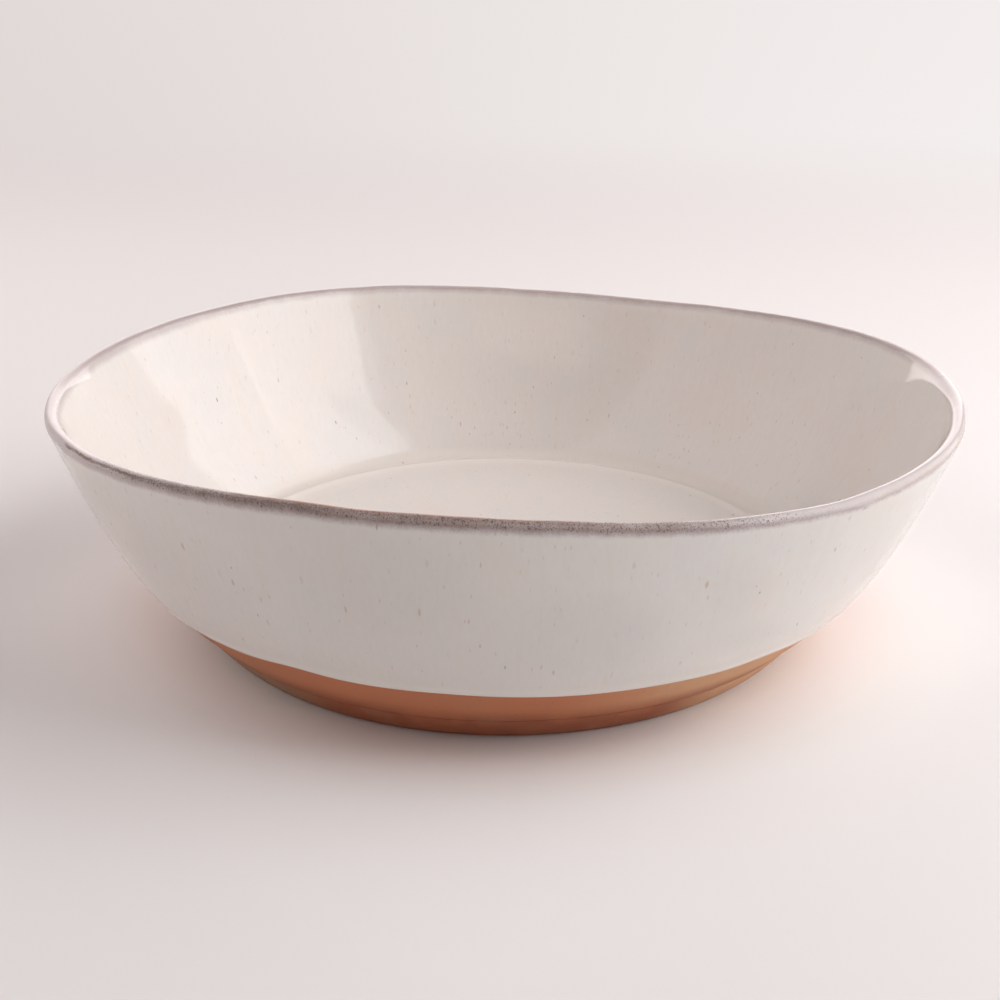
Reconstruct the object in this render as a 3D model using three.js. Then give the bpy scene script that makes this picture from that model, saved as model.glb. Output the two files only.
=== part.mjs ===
// A wide salad bowl in red stoneware clay, turned round and then pulled a little oval by hand.
// Cream glaze covers it inside and out, breaks to a brown band over the lip, and stops above the foot,
// where the clay is left bare. The foot is a ring of the same clay, luted under the floor.
// The origin is the middle of the foot on the table, +Z is up, and the rim's long way lies along X.

import * as THREE from 'three';

// Lengths are in millimetres and angles in degrees.

// Rim
const rimDiameter = 310; // across the middle of the lip, before the rim is pulled oval
const rimHeight = 86.4; // middle of the lip above the table
const rimLean = 13.8; // how far the wall leans out from upright at the lip

// Clay wall and floor
const wallThickness = 4.2;
const floorThickness = 6;
const wallSpringAngle = 46.5; // the wall's rise from level where it leaves the foot
const wallSpringShare = 0.335; // how long the wall keeps near that slope, as a share of its height
const wallRimShare = 0.68; // how long it keeps near the lip's lean, as a share of its height

// Raised bead round the floor's edge
const beadWidth = 4.8;
const beadHeight = 1.2;

// Foot ring
const footDiameter = 225.6; // outer edge of the face that it stands on
const footRingWidth = 11;
const footRecess = 6; // the bare floor's underside above the table
const footSeatSpread = 2.7; // the floor's flat underside reaches this far past the standing face
const footToeSpread = 3.3; // the side's first, flatter slope runs out this far past the standing face
const footToeHeight = 3;
const footTopSpread = 9.6; // the side runs out into the wall this far past the standing face
const footTopRise = 5.1; // and this far above the floor's underside
const footInnerEase = 0.8; // small bevel on the standing face's inner edge

// Glaze
const glazeThickness = 0.6;
const glazeLineHeight = 26.7; // lower edge of the outside glaze
const rimBandDepth = 4; // how far the brown band reaches down from the middle of the lip, on both sides

// How the hand has pulled the rim out of round
const rimOval = 8.45; // the long way's radius grows by this, and the short way's shrinks
const rimOvalTurn = 1.9;
const rimWander = 1.6; // the next largest wave in the rim's plan
const rimSway = 2.5; // the largest wave in the rim's height
const planWaveShares = [
  { waves: 3, share: 1, turn: -28 },
  { waves: 4, share: 0.23, turn: -40 },
  { waves: 5, share: 0.44, turn: -33 },
];
const heightWaveShares = [
  { waves: 3, share: 1, turn: 7 },
  { waves: 1, share: 0.5, turn: -168 },
  { waves: 2, share: 0.19, turn: 5 },
  { waves: 4, share: 0.16, turn: -9 },
];

// Fineness of the facets
const aroundCount = 64;
const bareSteps = 3; // from the foot up to the glaze line
const glazedSteps = 6; // from the glaze line up to the brown band
const insideSteps = 8; // from the brown band down to the floor
const lipSteps = 6;
const beadSteps = 4;
const halvings = 50; // rounds of the search for a height on the wall's curve
const lowestShare = -0.5; // the wall's curve is followed this far below its start, behind the foot
const nearbyShare = 1e-4; // a very short way along the wall's curve

// Finish
const clayColour = 0x9a5f44;
const creamColour = 0xe6ddd6;
const bandColour = 0x94817b;
const clayRoughness = 0.9;
const glazeRoughness = 0.2;

// Worked out from the sizes above
const rimRadius = rimDiameter / 2;
const lipRadius = wallThickness / 2;
const footRadius = footDiameter / 2;
const footSeat = [footRadius + footSeatSpread, footRecess];
const footTop = [footRadius + footTopSpread, footRecess + footTopRise];
const floorTop = footRecess + floorThickness;
const pullStart = floorTop + beadHeight + glazeThickness; // below this the bowl stays truly round
const lean = THREE.MathUtils.degToRad(rimLean);
const spring = THREE.MathUtils.degToRad(wallSpringAngle);

// The wall's outer face in bare clay, from the foot's top edge to the lip, as x radius and y height.
function makeWallCurve() {
  const start = new THREE.Vector2(...footTop);
  const outOfLip = new THREE.Vector2(Math.cos(lean), -Math.sin(lean)).multiplyScalar(lipRadius);
  const end = new THREE.Vector2(rimRadius, rimHeight).add(outOfLip);
  const rise = end.y - start.y;
  const leaving = new THREE.Vector2(Math.cos(spring), Math.sin(spring)).multiplyScalar(rise * wallSpringShare);
  const arriving = new THREE.Vector2(Math.sin(lean), Math.cos(lean)).multiplyScalar(rise * wallRimShare);
  return new THREE.CubicBezierCurve(start, start.clone().add(leaving), end.clone().sub(arriving), end);
}

const wallCurve = makeWallCurve();

function outerPoint(share) {
  const point = wallCurve.getPoint(share);
  return [point.x, point.y];
}

// The same place on the wall's inner face, one wall thickness in, square to the curve.
function innerPoint(share) {
  const point = wallCurve.getPoint(share);
  const before = wallCurve.getPoint(share - nearbyShare);
  const along = wallCurve.getPoint(share + nearbyShare).sub(before).normalize();
  return [point.x - along.y * wallThickness, point.y + along.x * wallThickness];
}

// The share of the curve at which a face of the wall reaches a height.
function shareAtHeight(face, height) {
  let low = lowestShare;
  let high = 1;
  for (let round = 0; round < halvings; round += 1) {
    const middle = (low + high) / 2;
    if (face(middle)[1] < height) {
      low = middle;
    } else {
      high = middle;
    }
  }
  return (low + high) / 2;
}

// Points at even steps from one share of a face to another, without the first.
function stepsAlong(face, from, to, count) {
  return Array.from({ length: count }, (unused, step) => face(from + ((to - from) * (step + 1)) / count));
}

const glazeShare = shareAtHeight(outerPoint, glazeLineHeight);
const outerBandShare = shareAtHeight(outerPoint, rimHeight - rimBandDepth);
const innerBandShare = shareAtHeight(innerPoint, rimHeight - rimBandDepth);
const floorShare = shareAtHeight(innerPoint, floorTop);
const floorRadius = innerPoint(floorShare)[0];

// The lip's half round, from the outer face over to the inner one.
function lipPoint(share) {
  const angle = Math.PI * share - lean;
  return [rimRadius + lipRadius * Math.cos(angle), rimHeight + lipRadius * Math.sin(angle)];
}

// The bead's crown, from the foot of the wall in to the flat floor.
function beadPoint(share) {
  return [floorRadius - beadWidth * share, floorTop + beadHeight * Math.sin(Math.PI * share)];
}

// The clay's face from the foot to the glaze line, and on from there under the glaze: up to the lip,
// over it and down the inside to the middle of the floor.
const barePath = [outerPoint(0), ...stepsAlong(outerPoint, 0, glazeShare, bareSteps)];
const coveredPath = [
  barePath.at(-1),
  ...stepsAlong(outerPoint, glazeShare, outerBandShare, glazedSteps),
  outerPoint(1),
  ...stepsAlong(lipPoint, 0, 1, lipSteps),
  innerPoint(innerBandShare),
  ...stepsAlong(innerPoint, innerBandShare, floorShare, insideSteps),
  ...stepsAlong(beadPoint, 0, 1, beadSteps),
  [0, floorTop],
];
const bandStart = glazedSteps;
const bandEnd = bandStart + lipSteps + 2;

function directionBetween(from, to) {
  return new THREE.Vector2(to[0] - from[0], to[1] - from[1]).normalize();
}

// A path moved out by a distance, square to it and mitred at its corners. A point on the axis stays there.
function raised(path, distance) {
  const directions = path.slice(1).map((point, index) => directionBetween(path[index], point));
  return path.map(([radius, height], index) => {
    const arriving = directions[Math.max(index - 1, 0)];
    const leaving = directions[Math.min(index, directions.length - 1)];
    const middle = arriving.clone().add(leaving).normalize();
    const reach = distance / middle.dot(arriving);
    const outward = radius === 0 ? 0 : middle.y * reach;
    return [radius + outward, height - middle.x * reach];
  });
}

const glazeFace = raised(coveredPath, glazeThickness);

// A sum of waves round the bowl, each a share of the largest.
function wavesAt(angle, shares) {
  return shares.reduce((sum, { waves, share, turn }) => {
    return sum + share * Math.cos(waves * (angle - THREE.MathUtils.degToRad(turn)));
  }, 0);
}

function rimSpreadAt(angle) {
  const oval = Math.cos(2 * (angle - THREE.MathUtils.degToRad(rimOvalTurn)));
  return rimOval * oval + rimWander * wavesAt(angle, planWaveShares);
}

function angleOf(step) {
  return (2 * Math.PI * step) / aroundCount;
}

// The pulled rim is set back over the middle of the foot, so that it overhangs alike on opposite sides.
function makeRimShift() {
  const bounds = new THREE.Box2();
  for (let step = 0; step < aroundCount; step += 1) {
    const radius = rimRadius + rimSpreadAt(angleOf(step));
    const place = new THREE.Vector2(Math.cos(angleOf(step)), Math.sin(angleOf(step)));
    bounds.expandByPoint(place.multiplyScalar(radius));
  }
  return bounds.getCenter(new THREE.Vector2()).negate();
}

const rimShift = makeRimShift();

// The place of a point of the section once the bowl is pulled: not at all at the floor, in full at the rim.
function pulled(radius, height, angle) {
  const share = Math.max(height - pullStart, 0) / (rimHeight - pullStart);
  const reach = radius + share * rimSpreadAt(angle);
  return [
    reach * Math.cos(angle) + share * rimShift.x,
    reach * Math.sin(angle) + share * rimShift.y,
    height + share * rimSway * wavesAt(angle, heightWaveShares),
  ];
}

// One ring of corners, or a single corner on the axis. Gives the corner's number at each step round.
function addRing(positions, [radius, height]) {
  const first = positions.length / 3;
  const count = radius === 0 ? 1 : aroundCount;
  for (let step = 0; step < count; step += 1) {
    positions.push(...pulled(radius, height, angleOf(step)));
  }
  return (step) => first + (step % count);
}

// The facets between two rings. Each four-cornered facet is split from its lower left to its upper right,
// whichever way the section runs, so that two pieces that meet along it have the very same facets.
function addFacets(triangles, from, to, rises) {
  for (let step = 0; step < aroundCount; step += 1) {
    const a = from(step);
    const b = from(step + 1);
    const c = to(step + 1);
    const d = to(step);
    const pair = rises ? [[a, b, c], [a, c, d]] : [[a, b, d], [b, c, d]];
    const whole = pair.filter((corners) => new Set(corners).size === corners.length);
    triangles.push(...whole.flat());
  }
}

// A closed section of [radius, height] points, which run outward below and up on the outside, turned round
// the axis into a solid.
function turnedSolid(section) {
  const positions = [];
  const triangles = [];
  const rings = section.map((point) => addRing(positions, point));
  section.forEach((point, index) => {
    const next = (index + 1) % section.length;
    const rise = section[next][1] - point[1] || section[next][0] - point[0];
    addFacets(triangles, rings[index], rings[next], rise > 0);
  });
  const geometry = new THREE.BufferGeometry();
  geometry.setAttribute('position', new THREE.Float32BufferAttribute(positions, 3));
  geometry.setIndex(triangles);
  geometry.computeVertexNormals();
  return geometry;
}

function namedMesh(name, section, colour, roughness) {
  const material = new THREE.MeshStandardMaterial({ color: colour, roughness, metalness: 0 });
  const mesh = new THREE.Mesh(turnedSolid(section), material);
  mesh.name = name;
  return mesh;
}

// A coat between two places on the covered path: its face out and back along the clay.
function coatSection(first, last) {
  const clay = coveredPath.slice(first, last + 1);
  return [...glazeFace.slice(first, last + 1), ...clay.reverse()];
}

// The bowl's clay: a flat underside, a slope that seats on the foot, the wall, the lip and the floor.
function makeClayBody() {
  const section = [[0, footRecess], footSeat, ...barePath, ...coveredPath.slice(1)];
  return namedMesh('clay_body', section, clayColour, clayRoughness);
}

// The ring that the bowl stands on. Its top lies face to face against the body's underside.
function makeFootRing() {
  const innerRadius = footRadius - footRingWidth;
  const section = [
    [innerRadius + footInnerEase, 0],
    [footRadius, 0],
    [footRadius + footToeSpread, footToeHeight],
    footTop,
    footSeat,
    [innerRadius, footRecess],
    [innerRadius, footInnerEase],
  ];
  return namedMesh('foot_ring', section, clayColour, clayRoughness);
}

function makeOutsideGlaze() {
  return namedMesh('outside_glaze', coatSection(0, bandStart), creamColour, glazeRoughness);
}

function makeRimGlaze() {
  return namedMesh('rim_glaze', coatSection(bandStart, bandEnd), bandColour, glazeRoughness);
}

function makeInsideGlaze() {
  return namedMesh('inside_glaze', coatSection(bandEnd, coveredPath.length - 1), creamColour, glazeRoughness);
}

const bowl = new THREE.Group();
bowl.add(makeClayBody(), makeFootRing(), makeOutsideGlaze(), makeRimGlaze(), makeInsideGlaze());

export default bowl;
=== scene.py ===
import math

import bpy
import numpy as np
from mathutils import Matrix, Vector


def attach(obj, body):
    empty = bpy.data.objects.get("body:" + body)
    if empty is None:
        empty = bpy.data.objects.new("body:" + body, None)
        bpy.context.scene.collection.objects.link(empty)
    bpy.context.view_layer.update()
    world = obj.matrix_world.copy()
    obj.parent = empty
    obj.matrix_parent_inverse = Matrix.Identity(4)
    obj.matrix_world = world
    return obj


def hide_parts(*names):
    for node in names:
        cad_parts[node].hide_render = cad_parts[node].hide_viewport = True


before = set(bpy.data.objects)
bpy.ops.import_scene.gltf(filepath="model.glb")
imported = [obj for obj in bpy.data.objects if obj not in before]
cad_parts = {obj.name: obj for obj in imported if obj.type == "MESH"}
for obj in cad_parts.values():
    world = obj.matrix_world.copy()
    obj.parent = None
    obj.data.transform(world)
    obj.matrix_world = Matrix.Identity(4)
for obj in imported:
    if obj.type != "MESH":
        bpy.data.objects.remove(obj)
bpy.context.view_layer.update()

# The bowl's sizes are in millimetres and degrees, as its maker would state them. MM turns them into metres.
MM = 0.001

# Rim
RIM_DIAMETER = 310
RIM_HEIGHT = 86.4
RIM_LEAN = 13.8

# Clay wall and floor
WALL_THICKNESS = 4.2
FLOOR_THICKNESS = 6
WALL_SPRING_ANGLE = 46.5
WALL_SPRING_SHARE = 0.335
WALL_RIM_SHARE = 0.68

# Raised bead round the floor's edge
BEAD_WIDTH = 4.8
BEAD_HEIGHT = 1.2

# Foot ring
FOOT_DIAMETER = 225.6
FOOT_RING_WIDTH = 11
FOOT_RECESS = 6
FOOT_SEAT_SPREAD = 2.7
FOOT_TOE_SPREAD = 3.3
FOOT_TOE_HEIGHT = 3
FOOT_TOP_SPREAD = 9.6
FOOT_TOP_RISE = 5.1
FOOT_EDGE_ROUND = 1.1
FOOT_TOP_ROUND = 0.5
FOOT_LEDGE = 0.2
TURNING_PITCH = 5.6
TURNING_DEPTH = 0.16

# Glaze
GLAZE_THICKNESS = 0.6
GLAZE_LIP_THICKNESS = 0.3
GLAZE_LIP_REACH = 4
GLAZE_EDGE_ROUND = 0.75
GLAZE_EDGE_START_SHARE = 0.002
GLAZE_ROLL_HEIGHT = 0.16
GLAZE_ROLL_PLACE = 1.9
GLAZE_ROLL_REACH = 1.1
GLAZE_SMOOTHING = 0.5
GLAZE_POOL_SMOOTHING = 4.2
GLAZE_POOL_REACH = 20
BEAD_SWELL = 0.9
BEAD_SWELL_PLACE = 5
BEAD_SWELL_REACH = 2.8
GLAZE_LINE_HEIGHT = 26.7
RIM_BAND_DEPTH = 4

# Where the dipped glaze line rises and falls: angle, rise and half width in degrees
GLAZE_LINE_FADE = 14
GLAZE_LINE_RISES = [
    (-119, 1.6, 5.5), (-98, 0.2, 5), (-83, -0.7, 10), (-51, 1.5, 5.5), (-22, -0.3, 9),
    (8, 0.9, 8), (33, -0.5, 7), (66, 1.3, 6), (92, -0.4, 10), (121, 1, 7),
    (150, -0.6, 9), (-171, 0.8, 8), (-146, -0.2, 7),
]

# How the hand has pulled the rim out of round
RIM_OVAL = 8.45
RIM_OVAL_TURN = 1.9
RIM_WANDER = 1.6
RIM_SWAY = 2.5
RIM_RIPPLE = 0.07
PLAN_WAVE_SHARES = [(3, 1, -28), (4, 0.23, -40), (5, 0.44, -33)]
HEIGHT_WAVE_SHARES = [(3, 1, 7), (1, 0.5, -168), (2, 0.19, 5), (4, 0.16, -9)]
RIPPLE_WAVE_SHARES = [(9, 1, 20), (13, 0.8, -75), (19, 0.7, 140), (26, 0.5, 60), (37, 0.35, -10)]

# Shallow hollows that fingers left in the wall: angle, height, half width in degrees, half height and depth
FINGER_DENTS = [
    (-133, 49, 9, 17, 0.95), (-105, 63, 8, 12, 0.45), (-80, 48, 8.5, 12, 0.85), (-64, 59, 5, 11, 0.65),
    (-59, 39, 6, 6, 0.5), (-40, 48, 7, 18, 0.8), (-14, 60, 8, 14, 0.7), (9, 45, 9, 12, 0.7),
    (31, 62, 8, 14, 0.6), (54, 44, 7, 11, 0.7), (76, 60, 9, 15, 0.5), (101, 46, 8, 13, 0.7),
    (124, 63, 7, 12, 0.5), (147, 45, 9, 14, 0.75), (168, 61, 8, 13, 0.6), (-163, 42, 8, 11, 0.7),
]
DENT_INNER_SHARE = 0.3
DENT_FADE = 9

# Thick drops where the rim's glaze ran and stopped: angle, drop, half width in degrees, half height and swell
RIM_DROPS = [
    (-152, -4.2, 1.2, 1.6, 0.3), (-104, -4.3, 0.9, 1.5, 0.16), (-84, -4.2, 1, 1.5, 0.18),
    (-46.5, -3.6, 1.9, 1.3, 0.42), (-41, -3.2, 1.3, 1.1, 0.22), (-12, -3.9, 1.4, 1.5, 0.3),
    (21, -4.1, 1.1, 1.7, 0.3), (47, -3.7, 1.6, 1.3, 0.35), (69, -4.4, 1, 1.8, 0.28),
    (96, -3.8, 1.8, 1.3, 0.38), (118, -4.1, 1.1, 1.5, 0.25), (149, -3.7, 1.5, 1.4, 0.33),
    (171, -4.2, 1.1, 1.7, 0.26),
]

# Worked out from the sizes above
RIM_RADIUS = RIM_DIAMETER / 2
LIP_RADIUS = WALL_THICKNESS / 2
FOOT_RADIUS = FOOT_DIAMETER / 2
FOOT_INNER = FOOT_RADIUS - FOOT_RING_WIDTH
FOOT_SEAT = (FOOT_RADIUS + FOOT_SEAT_SPREAD, FOOT_RECESS)
FOOT_TOP = (FOOT_RADIUS + FOOT_TOP_SPREAD, FOOT_RECESS + FOOT_TOP_RISE)
FLOOR_TOP = FOOT_RECESS + FLOOR_THICKNESS
PULL_START = FLOOR_TOP + BEAD_HEIGHT + GLAZE_THICKNESS
LEAN = math.radians(RIM_LEAN)
SPRING = math.radians(WALL_SPRING_ANGLE)

# Steps between a mesh's rings: at the glaze's edge, up the wall, on the lip, on the bead and on the floor
FACE_STEPS = (0.2, 1.25, 0.36, 0.3, 3.4)
BACK_STEPS = (1.3, 6, 0.9, 0.8, 13)

# Bare clay's ring step and last fall, and the angle in degrees past which an edge stays sharp
BARE_CLAY_STEP = 0.8
BARE_CLAY_END = -0.06
SHARP_ANGLE = 30

# Fineness of the meshes and of the curves that they are read from
AROUND = 512
RIM_CORNERS = 64
NEAR_SHARE = 1e-4
ANGLES = np.arange(AROUND) * 2 * math.pi / AROUND
PATH_STEP = 0.05
PATH_POINTS = 4000
CORNER_STEPS = 5


def wall_controls():
    """The four control points of the wall's outer face in bare clay, as radius and height."""
    out_of_lip = LIP_RADIUS * np.array([math.cos(LEAN), -math.sin(LEAN)])
    start = np.array(FOOT_TOP)
    end = np.array([RIM_RADIUS, RIM_HEIGHT]) + out_of_lip
    rise = end[1] - start[1]
    leaving = rise * WALL_SPRING_SHARE * np.array([math.cos(SPRING), math.sin(SPRING)])
    arriving = rise * WALL_RIM_SHARE * np.array([math.sin(LEAN), math.cos(LEAN)])
    return start, start + leaving, end - arriving, end


def outer_face(share):
    a, b, c, d = wall_controls()
    t = np.asarray(share, float)[..., None]
    return (1 - t) ** 3 * a + 3 * (1 - t) ** 2 * t * b + 3 * (1 - t) * t**2 * c + t**3 * d


def inner_face(share):
    """The wall's inner face, one wall thickness in, square to the outer curve."""
    along = outer_face(np.asarray(share) + NEAR_SHARE) - outer_face(np.asarray(share) - NEAR_SHARE)
    along /= np.linalg.norm(along, axis=-1, keepdims=True)
    return outer_face(share) + WALL_THICKNESS * np.stack([-along[..., 1], along[..., 0]], -1)


def share_at_height(face, height):
    """The share of the wall's curve at which a face reaches a height."""
    shares = np.linspace(-0.5, 1, PATH_POINTS)
    return float(np.interp(height, face(shares)[:, 1], shares))


def path_lengths(points):
    steps = np.linalg.norm(np.diff(points, axis=0), axis=1)
    return np.concatenate([[0], np.cumsum(steps)])


def clay_stretches():
    """The clay's face from the foot's top edge over the lip to the middle of the floor, in five stretches."""
    turn = math.pi * np.linspace(0, 1, PATH_POINTS) - LEAN
    t = np.linspace(0, 1, PATH_POINTS)
    outer = outer_face(t)
    lip = np.stack([RIM_RADIUS + LIP_RADIUS * np.cos(turn), RIM_HEIGHT + LIP_RADIUS * np.sin(turn)], -1)
    inner = inner_face(1 + (share_at_height(inner_face, FLOOR_TOP) - 1) * t)
    bead = np.stack([inner[-1, 0] - BEAD_WIDTH * t, FLOOR_TOP + BEAD_HEIGHT * np.sin(math.pi * t)], -1)
    flat = np.stack([bead[-1, 0] * (1 - t), np.full(PATH_POINTS, float(FLOOR_TOP))], -1)
    return [outer, lip, inner, bead, flat]


# Falls are distances along the clay's face from the glaze line, below 0 on the bare clay
STRETCHES = clay_stretches()
WHOLE_PATH = np.concatenate(STRETCHES)
WHOLE_FALL = path_lengths(WHOLE_PATH)
WHOLE_FALL -= np.interp(GLAZE_LINE_HEIGHT, STRETCHES[0][:, 1], WHOLE_FALL[:PATH_POINTS])
FOOT_FALL, LIP_START, LIP_END, FLOOR_EDGE, BEAD_END = WHOLE_FALL[::PATH_POINTS]
CREST = WHOLE_FALL[WHOLE_PATH[:, 1].argmax()]
CENTRE = WHOLE_FALL[-1]
FALLS = np.arange(FOOT_FALL, CENTRE, PATH_STEP)


def on_clay(fall):
    """Radius and height of the clay's face at a fall."""
    return np.stack([np.interp(fall, WHOLE_FALL, WHOLE_PATH[:, axis]) for axis in (0, 1)], -1)


def eased(value, start, end):
    """A smooth step from 0 at start to 1 at end."""
    t = np.clip((value - start) / (end - start), 0, 1)
    return t * t * (3 - 2 * t)


def coat_depth(fall):
    """How thick the glaze lies: a round edge, a fat roll behind it, and thin over the lip."""
    edge = np.clip(fall / GLAZE_EDGE_ROUND, GLAZE_EDGE_START_SHARE, 1)
    roll = GLAZE_ROLL_HEIGHT * np.exp(-(((fall - GLAZE_ROLL_PLACE) / GLAZE_ROLL_REACH) ** 2))
    thinned = (GLAZE_THICKNESS - GLAZE_LIP_THICKNESS) * np.exp(-(((fall - CREST) / GLAZE_LIP_REACH) ** 4))
    return np.sqrt(1 - (1 - edge) ** 2) * (GLAZE_THICKNESS + roll - thinned)


def smoothed(path, reach):
    """A path of PATH_STEP long steps, blurred along itself."""
    count = int(3 * reach / PATH_STEP)
    weights = np.exp(-((np.arange(-count, count + 1) * PATH_STEP / reach) ** 2) / 2)
    padded = np.pad(path, ((count, count), (0, 0)), "edge")
    return np.stack([np.convolve(padded[:, axis], weights / weights.sum(), "valid") for axis in (0, 1)], -1)


def coat_offsets():
    """From the clay's face to the glaze's at every fall, smoothed as the melt does where it pools."""
    clay = on_clay(FALLS)
    along = np.gradient(clay, PATH_STEP, axis=0)
    along /= np.linalg.norm(along, axis=1, keepdims=True)
    face = clay + coat_depth(FALLS)[:, None] * np.stack([along[:, 1], -along[:, 0]], -1)
    melted = smoothed(face, GLAZE_SMOOTHING)
    pooled = smoothed(face, GLAZE_POOL_SMOOTHING)
    far = eased(FALLS, GLAZE_EDGE_ROUND, GLAZE_ROLL_PLACE) * eased(FALLS, CENTRE, CENTRE - BEAD_WIDTH)
    low = eased(FALLS, FLOOR_EDGE - GLAZE_POOL_REACH, FLOOR_EDGE - GLAZE_POOL_REACH / 2)
    swell = BEAD_SWELL * np.exp(-(((FALLS - FLOOR_EDGE - BEAD_SWELL_PLACE) / BEAD_SWELL_REACH) ** 2))
    offsets = face + far[:, None] * (melted + low[:, None] * (pooled - melted) - face) - clay
    offsets[:, 1] += swell
    return offsets


COAT_OFFSETS = coat_offsets()


def waves_at(angle, shares):
    return sum(share * np.cos(count * (angle - math.radians(turn))) for count, share, turn in shares)


def rim_spread(angle):
    oval = np.cos(2 * (angle - math.radians(RIM_OVAL_TURN)))
    return RIM_OVAL * oval + RIM_WANDER * waves_at(angle, PLAN_WAVE_SHARES)


def rim_shift():
    """What sets the pulled rim back over the middle of the foot, as the frame's rim is."""
    corners = np.arange(RIM_CORNERS) * 2 * math.pi / RIM_CORNERS
    radius = RIM_RADIUS + rim_spread(corners)
    x, y = radius * np.cos(corners), radius * np.sin(corners)
    return -(x.max() + x.min()) / 2, -(y.max() + y.min()) / 2


SHIFT = rim_shift()


def turned_from(angle, degrees):
    """How far an angle lies from another, in degrees, the short way round."""
    return (np.degrees(angle) - degrees + 180) % 360 - 180


def line_rise(angle):
    """How far the glaze line lies above its usual place."""
    return sum(rise * np.exp(-((turned_from(angle, at) / half) ** 2)) for at, rise, half in GLAZE_LINE_RISES)


def dented(angle, height):
    """How far the wall's outer face is pressed in."""
    depth = sum(
        deep * np.exp(-((turned_from(angle, at) / half) ** 2) - ((height - level) / tall) ** 2)
        for at, level, half, tall, deep in FINGER_DENTS
    )
    above_line = eased(height, GLAZE_LINE_HEIGHT, GLAZE_LINE_HEIGHT + DENT_FADE)
    return depth * above_line * eased(height, RIM_HEIGHT, RIM_HEIGHT - DENT_FADE)


def rim_drops(angle, drop):
    """How far the rim's drops stand out of the coat."""
    return sum(
        swell * np.exp(-((turned_from(angle, at) / half) ** 2) - ((drop - level) / tall) ** 2)
        for at, level, half, tall, swell in RIM_DROPS
    )


def pulled(radius, height, press=0.0, angle=ANGLES):
    """Places of section points once the bowl is pulled, in metres: an array of section by angle by xyz."""
    radius, height, press = np.broadcast_arrays(radius, height, press)
    share = np.maximum(height - PULL_START, 0) / (RIM_HEIGHT - PULL_START)
    ripple = RIM_RIPPLE * share**4 * waves_at(angle, RIPPLE_WAVE_SHARES)
    reach = radius + share * rim_spread(angle) + ripple - press * dented(angle, height)
    x = reach * np.cos(angle) + share * SHIFT[0]
    y = reach * np.sin(angle) + share * SHIFT[1]
    z = height + share * RIM_SWAY * waves_at(angle, HEIGHT_WAVE_SHARES) - ripple
    return MM * np.stack(np.broadcast_arrays(x, y, z), -1)


def rings_at(falls, coated):
    """Rings of the clay's face, or of the glaze's, that follow the wavy glaze line."""
    fade = np.exp(-np.abs(falls) / GLAZE_LINE_FADE) * eased(falls, FOOT_FALL, 0)
    moved = falls[:, None] + fade[:, None] * line_rise(ANGLES)
    section = on_clay(moved)
    if coated:
        offset = np.stack([np.interp(falls, FALLS, COAT_OFFSETS[:, axis]) for axis in (0, 1)], -1)[:, None]
        outwards = offset / np.linalg.norm(offset, axis=-1, keepdims=True)
        section += offset + outwards * rim_drops(ANGLES, falls[:, None] - CREST)[..., None]
    press = np.where(falls < CREST, 1, DENT_INNER_SHARE)[:, None]
    return pulled(section[..., 0], section[..., 1], press)


def spaced(start, end, step):
    return np.linspace(start, end, max(1, round((end - start) / step)), endpoint=False)


def stations(edge_step, wall_step, lip_step, bead_step, floor_step):
    """Falls for a mesh's rings, closer together at the glaze's edge, on the lip and on the bead."""
    near = 2 * GLAZE_ROLL_PLACE
    return np.concatenate(
        [
            spaced(0, near, edge_step),
            spaced(near, LIP_START - LIP_RADIUS, wall_step),
            spaced(LIP_START - LIP_RADIUS, LIP_END + LIP_RADIUS, lip_step),
            spaced(LIP_END + LIP_RADIUS, FLOOR_EDGE - BEAD_HEIGHT, wall_step),
            spaced(FLOOR_EDGE - BEAD_HEIGHT, BEAD_END + BEAD_HEIGHT, bead_step),
            spaced(BEAD_END + BEAD_HEIGHT, CENTRE - floor_step / 2, floor_step),
            [CENTRE - floor_step / 2],
        ]
    )


def band_ends():
    """The falls, outside and inside, between which the rim's own glaze lies."""
    level = RIM_HEIGHT - RIM_BAND_DEPTH
    height = on_clay(FALLS)[:, 1]
    outside = FALLS < CREST
    first = np.interp(level, height[outside], FALLS[outside])
    last = np.interp(-level, -height[~outside], FALLS[~outside])
    return float(first), float(last)


def place_of(falls):
    """Where glaze lies if unrolled from a cylinder: around it, and down inside from the lip's crest."""
    around = RIM_RADIUS * np.stack([np.cos(ANGLES), np.sin(ANGLES)], -1)
    around = np.broadcast_to(around, (len(falls), AROUND, 2))
    drop = np.broadcast_to((falls - CREST)[:, None, None], (len(falls), AROUND, 1))
    return MM * np.concatenate([around, drop], -1)


def grid_normals(grid, falls):
    """Unit normals of a grid that closes round its second axis, out of the clay."""
    along = np.gradient(grid, falls, axis=0)
    around = np.roll(grid, -1, axis=1) - np.roll(grid, 1, axis=1)
    normal = np.cross(around, along)
    return normal / np.linalg.norm(normal, axis=-1, keepdims=True)


def solid_from(name, rings, poles=()):
    """A closed mesh from rings, whose last meets the first, or which ends in a pole before and after them."""
    count = len(rings)
    points = rings.reshape(-1, 3)
    index = np.arange(count * AROUND).reshape(count, AROUND)
    below = index[:-1] if len(poles) else index
    above = index[1:] if len(poles) else np.roll(index, -1, axis=0)
    faces = np.stack([below, np.roll(below, -1, 1), np.roll(above, -1, 1), above], -1).reshape(-1, 4).tolist()
    if len(poles):
        points = np.concatenate([points, poles])
        first, last = count * AROUND, count * AROUND + 1
        faces += [(first, after, here) for here, after in zip(index[0], np.roll(index[0], -1))]
        faces += [(here, after, last) for here, after in zip(index[-1], np.roll(index[-1], -1))]
    mesh = bpy.data.meshes.new(name)
    mesh.from_pydata(points.tolist(), [], faces)
    mesh.shade_smooth()
    piece = bpy.data.objects.new(name, mesh)
    bpy.context.scene.collection.objects.link(piece)
    return piece


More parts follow.
